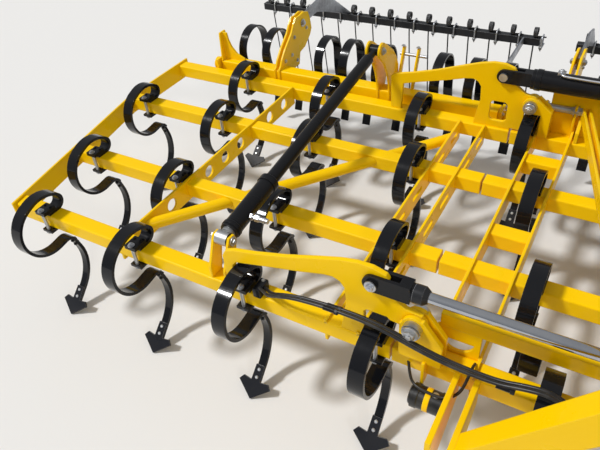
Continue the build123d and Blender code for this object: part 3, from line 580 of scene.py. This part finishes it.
def portPipe(name, barrelBody, foot, way):
    aside = Vector((1, 0, 0))
    over, up = strut["portWay"]
    side = (aside * over + aside.cross(way) * up).normalized()
    ports = shapeFor("strutPorts", barrelBody)
    for at in strut["portsAt"]:
        stand = foot + way * at + side * strut["portOut"]
        addRound(ports, stand, side, *strut["port"])
        addBolt(ports, stand + side * strut["port"][1], side, strut["portBolt"], washer=False)
    start, stop = (foot + way * at + side * strut["pipeOut"] for at in strut["portsAt"])
    path = ([start + way * along + side * out for along, out in strut["pipeSteps"]]
            + [stop - way * along + side * out for along, out in reversed(strut["pipeSteps"])])
    pipe = addLines(name + "StrutPipe", barrelBody, finishes["zinc"], [path], strut["pipe"], True)


for side, name in wingSides:
    strutFittings(name, side * strut["x"], strut["foot"], strut["pin"], strut["half"])
strutFittings("centre", 0.0, strut["centreFoot"], strut["centrePin"], strut["centreHalf"])
finishKind("strutPins", "zinc")
finishKind("strutCollars", "zinc")
finishKind("strutGlands", "black_paint")
finishKind("strutPorts", "zinc")
print("adjusting cylinder fittings set")

# Wing hinges and fold cylinders. Heads are radius, height and bolt size, rings are x from the
# middle towards the barrel's pin, radius and length.
fold = {
    "hingeFaces": ((-1, 0.057), (1, 0.045)), "hingeHead": (0.031, 0.007, 0.025),
    "rod": 0.02, "rodShort": 0.005, "piston": (0.0385, 0.04), "sleeve": (0.034, 0.022, 0.018),
    "sleeveNeck": 0.034,
    "rings": ((-0.05, 0.055, 0.036), (0.66, 0.054, 0.03)), "ringChamfer": 0.004,
    "portX": (0.03, 0.575), "portUp": 0.052, "port": (0.036, 0.03, 0.022), "portBoltUp": 0.063,
    "portBolt": 0.014, "pipe": 0.006,
    "pipeSteps": ((0.0, -0.014, 0.056), (0.0, -0.034, 0.060), (0.03, -0.04, 0.054)),
    "pinFace": 0.035, "pinHead": (0.0225, 0.006, 0.017),
}


def smoothRod(node, body, way):
    # The polished rod with its piston, and the turned sleeve where it screws into the fork.
    low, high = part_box(node)
    y, z = (low[1] + high[1]) / 2, (low[2] + high[2]) / 2
    outer, inner = (low[0], high[0]) if way < 0 else (high[0], low[0])
    length = abs(inner - outer) - fold["rodShort"]
    shape = shapeFor(node + "Smooth", body)
    addRound(shape, (outer, y, z), (-way, 0, 0), fold["rod"], length, 64)
    addRound(shape, (inner, y, z), (way, 0, 0), *fold["piston"], 64, 0.002)
    finishKind(node + "Smooth", "chrome_rod")
    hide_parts(node)
    wide, narrow, cone = fold["sleeve"]
    neck = fold["sleeveNeck"]
    sleeve = shapeFor("rodSleeves", body)
    addRound(sleeve, (outer, y, z), (-way, 0, 0), wide, cone, 48, tipRadius=narrow)
    addRound(sleeve, (outer + way * neck, y, z), (-way, 0, 0), wide, neck, 48)
    finishKind("rodSleeves", "dark_grey")


def foldCylinder(side, y, barrelBody, rodBody):
    smoothRod(rodBody.replace("_rod", "_fold_rod"), rodBody, -side)
    ports, rings = shapeFor("foldPorts", barrelBody), shapeFor("foldRings", barrelBody)
    for at, radius, length in fold["rings"]:
        addRound(rings, (side * at, y, foldPinZ), (side, 0, 0), radius, length, 32,
                 fold["ringChamfer"])
    for x in fold["portX"]:
        addBlock(ports, (side * x, y, foldPinZ + fold["portUp"]), fold["port"], 0.003)
        addBolt(ports, (side * x, y, foldPinZ + fold["portBoltUp"]), (0, 0, 1), fold["portBolt"],
                washer=False)
    start, stop = fold["portX"]
    steps = fold["pipeSteps"]
    near = [(side * (start + along), y + back, foldPinZ + up) for along, back, up in steps]
    far = [(side * (stop - along), y + back, foldPinZ + up) for along, back, up in reversed(steps)]
    pipe = addLines(barrelBody + "Pipe", barrelBody, finishes["zinc"], [near + far], fold["pipe"],
                    True)
    nuts = shapeFor("foldPinNuts", rodBody)
    for along in (-1, 1):
        addPinHead(nuts, (-side * foldPinX, y + along * fold["pinFace"], foldPinZ), (0, along, 0),
                   *fold["pinHead"], sides=22)


def foldFittings():
    hinges = shapeFor("hingeNuts", "centre")
    for side in (-1, 1):
        for y in leverY:
            for along, reach in fold["hingeFaces"]:
                addPinHead(hinges, (side * hingeX, y + along * reach, hingeZ), (0, along, 0),
                           *fold["hingeHead"], sides=24)
    foldCylinder(1, leverY[0], "front_barrel", "front_rod")
    foldCylinder(-1, leverY[1], "rear_barrel", "rear_rod")
    finishKind("hingeNuts", "zinc")
    finishKind("foldPorts", "zinc")
    finishKind("foldRings", "black_paint")
    finishKind("foldPinNuts", "zinc")


foldFittings()
print("fold cylinder fittings set")

# Hydraulic lines along the front, over the hinge of the right wing. The route is x, y behind
# the upper line and z above the deck, and ferrules are x, z above the deck.
frontLines = {
    "radius": 0.0068, "apart": 0.028, "lift": 0.6, "y": rowY[0] - 0.045,
    "route": ((-1.345, 0.08, 0.03), (-1.31, 0.06, 0.04), (-1.26, 0.02, 0.08), (-1.19, 0, 0.13),
              (-1.094, 0, 0.156), (-0.909, 0, 0.170), (-0.78, 0, 0.160), (-0.66, 0, 0.125),
              (-0.54, 0, 0.102), (-0.38, 0, 0.098), (-0.30, 0, 0.125), (-0.237, 0, 0.138),
              (-0.17, 0, 0.12), (-0.13, 0, 0.06), (-0.12, 0, 0.0)),
    "bendFrom": -0.60, "bendTo": -0.77,
    "blocks": {"wing_right": (-1.352, rowY[0] + 0.025, deckZ + 0.024),
               "centre": (-0.12, rowY[0] - 0.036, deckZ - 0.014)},
    "block": (0.036, 0.072, 0.048), "blockChamfer": 0.004, "blockBoltAt": (0, 0.024, 0.024),
    "blockBolt": 0.008,
    "ferrules": ((-1.0, 0.163), (-0.38, 0.095)), "ferruleWay": (1, 0, 0.02),
    "ferrule": (0.0095, 0.045, 14, 0.002), "ferruleNut": (0.0115, 0.014, 6, 0.002),
}


def frontHoses():
    y, lift = frontLines["y"], frontLines["lift"]
    steps = (0.0, frontLines["apart"])
    size, chamfer = frontLines["block"], frontLines["blockChamfer"]
    for body, place in frontLines["blocks"].items():
        addBlock(shapeFor("hoseBlocks", body), place, size, chamfer)
        boltAt = Vector(place) + Vector(frontLines["blockBoltAt"])
        addBolt(shapeFor("hoseBlockBolts", body), boltAt, (0, 0, 1), frontLines["blockBolt"])
    finishKind("hoseBlocks", "black_paint")
    finishKind("hoseBlockBolts", "zinc")
    paths = [[(x, y + back - step, deckZ + z + step * lift) for x, back, z in frontLines["route"]]
             for step in steps]
    hoses = addLines("frontHoses", None, rubberHose, paths, frontLines["radius"], True, 2)
    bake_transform(hoses)
    way = frontLines["ferruleWay"]
    for x, up in frontLines["ferrules"]:
        rings = shapeFor("hoseFerrules", bodyAt(x))
        for step in steps:
            place = (y - step, deckZ + up + step * lift)
            addRound(rings, (x, *place), way, *frontLines["ferrule"])
            addRound(rings, (x + frontLines["ferrule"][1], *place), way, *frontLines["ferruleNut"])
    finishKind("hoseFerrules", "black_paint")


frontHoses()
print("front hoses set")

# Tube for the manual, under the front beam: caps are x, way, radius, length and chamfer, the
# lead's points are x, y behind the front beam's face and z above the deck.
manualTube = {
    "y": rowY[0] - 0.08, "z": deckZ - 0.107,
    "caps": ((-0.647, 1, 0.046, 0.026, 0.004), (-0.647, -1, 0.038, 0.01, 0.004),
             (-0.546, 1, 0.046, 0.018, 0.003)),
    "strapX": -0.60, "strap": (0.0445, 0.02, 36, 0.001), "screwX": -0.565, "screwUp": 0.042,
    "screw": 0.012,
    "lead": ((-0.70, 0.002, -0.045), (-0.675, -0.05, -0.05), (-0.645, -0.085, -0.045),
             (-0.59, -0.09, -0.052), (-0.53, -0.085, -0.055), (-0.49, -0.06, -0.03),
             (-0.478, -0.03, 0.02), (-0.475, 0.01, 0.045), (-0.475, 0.05, 0.015)),
    "leadRadius": 0.0055,
}
# Valve block: z above the deck, size and chamfer of each step
valve = {"x": -0.31, "y": rowY[0] + 0.15, "boltUp": 0.085, "bolt": 0.014,
         "steps": ((0.03, (0.07, 0.1, 0.07), 0.005), (0.07, (0.05, 0.05, 0.03), 0.004))}
# Rear rod in its two lugs: nuts are x and way
rearRod = {"y": rowY[3] + 0.066, "z": deckZ + 0.15, "x": -0.637, "radius": 0.018, "length": 0.2,
           "nuts": ((-0.613, 1), (-0.480, -1), (-0.466, 1)), "nut": 0.026,
           "lugX": (-0.620, -0.473), "lugZ": deckZ + 0.09, "lug": (0.014, 0.034, 0.18),
           "lugChamfer": 0.005}
# Two leaning lugs and their rod on each wing's levelling tube
tubeLug = {"x": (1.497, 1.405), "y": tubeY + 0.085, "z": deckZ + 0.14, "size": (0.012, 0.042, 0.25),
           "chamfer": 0.004, "lean": -22, "endY": tubeY + 0.115, "screwZ": deckZ + 0.262,
           "screwWay": (0, 0.38, 1), "screw": 0.013, "rodX": (1.35, 1.515), "rodZ": deckZ + 0.215,
           "rodRadius": 0.009}


def manualTubeFittings():
    y, z = manualTube["y"], manualTube["z"]
    caps = shapeFor("manualTubeCaps", "centre")
    for x, way, radius, length, chamfer in manualTube["caps"]:
        addRound(caps, (x, y, z), (way, 0, 0), radius, length, 36, chamfer)
    finishKind("manualTubeCaps", "black_plastic")
    path = [(x, rowY[0] + back, deckZ + up) for x, back, up in manualTube["lead"]]
    lead = addLines("manualTubeLead", "centre", rubberHose, [path], manualTube["leadRadius"],
                    True, 2)
    straps, bright = shapeFor("frameStraps", "centre"), shapeFor("frameBolts", "centre")
    addRound(straps, (manualTube["strapX"], y, z), (1, 0, 0), *manualTube["strap"])
    screwAt = (manualTube["screwX"], y, z + manualTube["screwUp"])
    addBolt(bright, screwAt, (0, 0, 1), manualTube["screw"])


def valveFittings():
    block, bright = shapeFor("valveBlocks", "centre"), shapeFor("frameBolts", "centre")
    for up, size, chamfer in valve["steps"]:
        addBlock(block, (valve["x"], valve["y"], deckZ + up), size, chamfer)
    addBolt(bright, (valve["x"], valve["y"], deckZ + valve["boltUp"]), (0, 0, 1), valve["bolt"])
    finishKind("valveBlocks", "black_paint")


def rearRodFittings():
    lugs, bright = shapeFor("frameStraps", "centre"), shapeFor("frameBolts", "centre")
    for x in rearRod["lugX"]:
        addBlock(lugs, (x, rearRod["y"], rearRod["lugZ"]), rearRod["lug"], rearRod["lugChamfer"])
    at = (rearRod["y"], rearRod["z"])
    addRound(bright, (rearRod["x"], *at), (1, 0, 0), rearRod["radius"], rearRod["length"], 32)
    for x, face in rearRod["nuts"]:
        addBolt(bright, (x, *at), (face, 0, 0), rearRod["nut"])


def tubeLugs():
    lean = Matrix.Rotation(math.radians(tubeLug["lean"]), 4, "X")
    for side, name in wingSides:
        body = name + "_levelling"
        lugs, rods = shapeFor("tubeLugs", body), shapeFor("tubeLugRods", body)
        for x in tubeLug["x"]:
            centre = (side * x, tubeLug["y"], tubeLug["z"])
            addBlock(lugs, centre, tubeLug["size"], tubeLug["chamfer"], lean)
            screwAt = (side * x, tubeLug["endY"], tubeLug["screwZ"])
            addBolt(rods, screwAt, tubeLug["screwWay"], tubeLug["screw"])
        left, right = sorted(side * x for x in tubeLug["rodX"])
        addRound(rods, (left, tubeLug["endY"], tubeLug["rodZ"]), (1, 0, 0), tubeLug["rodRadius"],
                 right - left, 14)
    finishKind("tubeLugs", "amber_paint")
    finishKind("tubeLugRods", "zinc")


manualTubeFittings()
rearRodFittings()
finishKind("frameStraps", "amber_paint")
valveFittings()
finishKind("frameBolts", "zinc")
tubeLugs()
print("small things set")

# Studio: floor, lights and camera. A light's angle and the camera's turns are in degrees.
studio = {"floorColour": (0.78, 0.77, 0.75, 1.0), "floorRoughness": 0.9, "floorSize": 150.0,
          "horizon": (0.62, 0.65, 0.70, 1.0), "zenith": (1.0, 1.0, 1.0, 1.0), "zenithFrom": 0.75,
          "worldStrength": 0.42, "lampAngle": 7.0,
          "keyStrength": 2.5, "keyFrom": (-1.0, -0.75, 1.7),
          "fillStrength": 0.3, "fillFrom": (1.2, -1.0, 1.0)}
photoView = {"place": (-0.260, -2.5726, 2.405), "yaw": 33.69, "tilt": 49.82, "roll": -6.02,
             "lens": 35.44, "sensor": 36.0, "farClip": 200.0}


def buildFloor():
    mesh = bpy.data.meshes.new("floor")
    shape = bmesh.new()
    bmesh.ops.create_grid(shape, x_segments=1, y_segments=1, size=studio["floorSize"])
    shape.to_mesh(mesh)
    shape.free()
    floor = bpy.data.objects.new("floor", mesh)
    bpy.context.collection.objects.link(floor)
    material, _, shader = newMaterial("paleFloor")
    shader.inputs["Base Color"].default_value = studio["floorColour"]
    shader.inputs["Roughness"].default_value = studio["floorRoughness"]
    mesh.materials.append(material)


def buildLights():
    world = bpy.data.worlds.new("studioWorld")
    world.use_nodes = True
    sky = world.node_tree
    where = addNode(sky, "ShaderNodeTexCoord")
    height = addNode(sky, "ShaderNodeSeparateXYZ", [("Vector", where.outputs["Generated"])])
    glow = ramp(sky, height.outputs["Z"], 0.0, studio["zenithFrom"], studio["horizon"],
                studio["zenith"])
    background = sky.nodes["Background"]
    sky.links.new(glow, background.inputs["Color"])
    background.inputs["Strength"].default_value = studio["worldStrength"]
    bpy.context.scene.world = world
    for name in ("key", "fill"):
        lamp = bpy.data.lights.new(name, "SUN")
        lamp.energy = studio[name + "Strength"]
        lamp.angle = math.radians(studio["lampAngle"])
        holder = bpy.data.objects.new(name, lamp)
        holder.rotation_euler = Vector(studio[name + "From"]).to_track_quat("Z", "Y").to_euler()
        bpy.context.collection.objects.link(holder)


def buildCamera():
    camera = bpy.data.objects.new("camera", bpy.data.cameras.new("camera"))
    bpy.context.collection.objects.link(camera)
    camera.data.lens = photoView["lens"]
    camera.data.sensor_width = photoView["sensor"]
    camera.data.clip_end = photoView["farClip"]
    stand = Matrix.Translation(photoView["place"])
    for turn, axis in (("yaw", "Z"), ("tilt", "X"), ("roll", "Z")):
        stand = stand @ Matrix.Rotation(math.radians(photoView[turn]), 4, axis)
    camera.matrix_world = stand
    bpy.context.scene.camera = camera


buildFloor()
buildLights()
buildCamera()
bpy.context.scene.view_settings.view_transform = "Standard"
print("studio and camera set")
